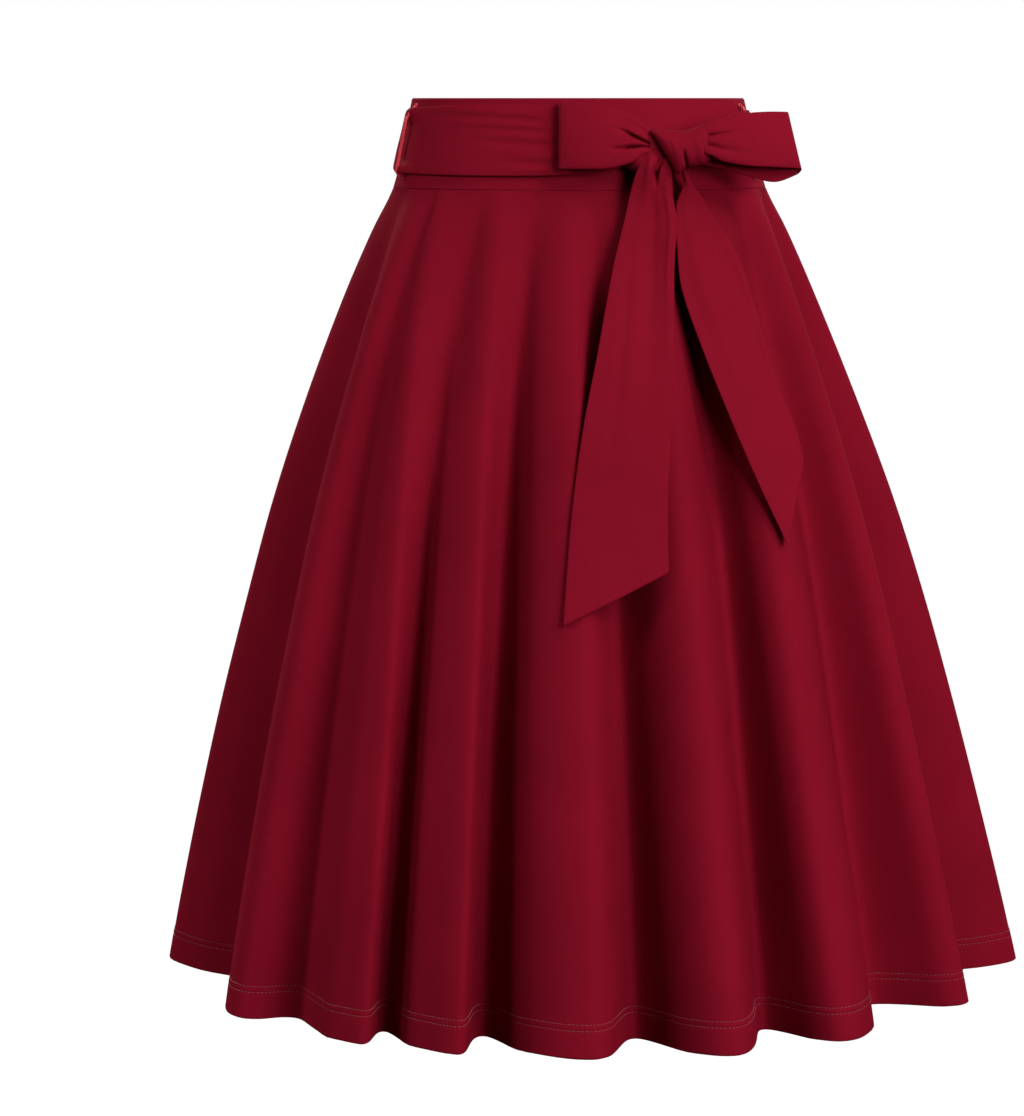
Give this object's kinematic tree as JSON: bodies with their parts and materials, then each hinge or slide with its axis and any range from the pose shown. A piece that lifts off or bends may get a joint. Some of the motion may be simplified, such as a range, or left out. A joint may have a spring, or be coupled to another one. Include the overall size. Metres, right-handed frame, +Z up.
{
  "type": "a-line midi skirt with tied sash",
  "caption": "Flared a-line midi skirt in worn form, with a shaped waistband, deep soft folds and a wide sash tied in a bow at the front.",
  "frame": {"origin": "centre of the waist, halfway up the waistband, where the wearer holds the skirt", "axes": "+Z up along the wearer's waist, -Y towards the skirt's front, +X to the right as seen from the front"},
  "size_m": [0.6917, 0.5992, 0.7029],
  "materials": {
    "skirt_cloth": "smooth matte-satin dress cloth, wine red",
    "waistband_cloth": "the skirt's cloth, stiffened, wine red",
    "sash_cloth": "the skirt's cloth, two layers, wine red",
    "zip_tape": "woven tape with a nylon coil, dark wine red",
    "carrier_thread": "glossy chained thread, bright red"
  },
  "bodies": {
    "root": {"front_panel": "skirt_cloth", "back_left_panel": "skirt_cloth", "back_right_panel": "skirt_cloth", "waistband_front": "waistband_cloth", "waistband_back_left": "waistband_cloth", "waistband_back_right": "waistband_cloth", "back_zip": "zip_tape", "sash_band": "sash_cloth", "sash_knot": "sash_cloth", "bow_loop_left": "sash_cloth", "bow_loop_right": "sash_cloth", "sash_tail_left": "sash_cloth", "sash_tail_right": "sash_cloth", "belt_loop_left": "carrier_thread", "belt_loop_right": "carrier_thread"}
  },
  "joints": []
}
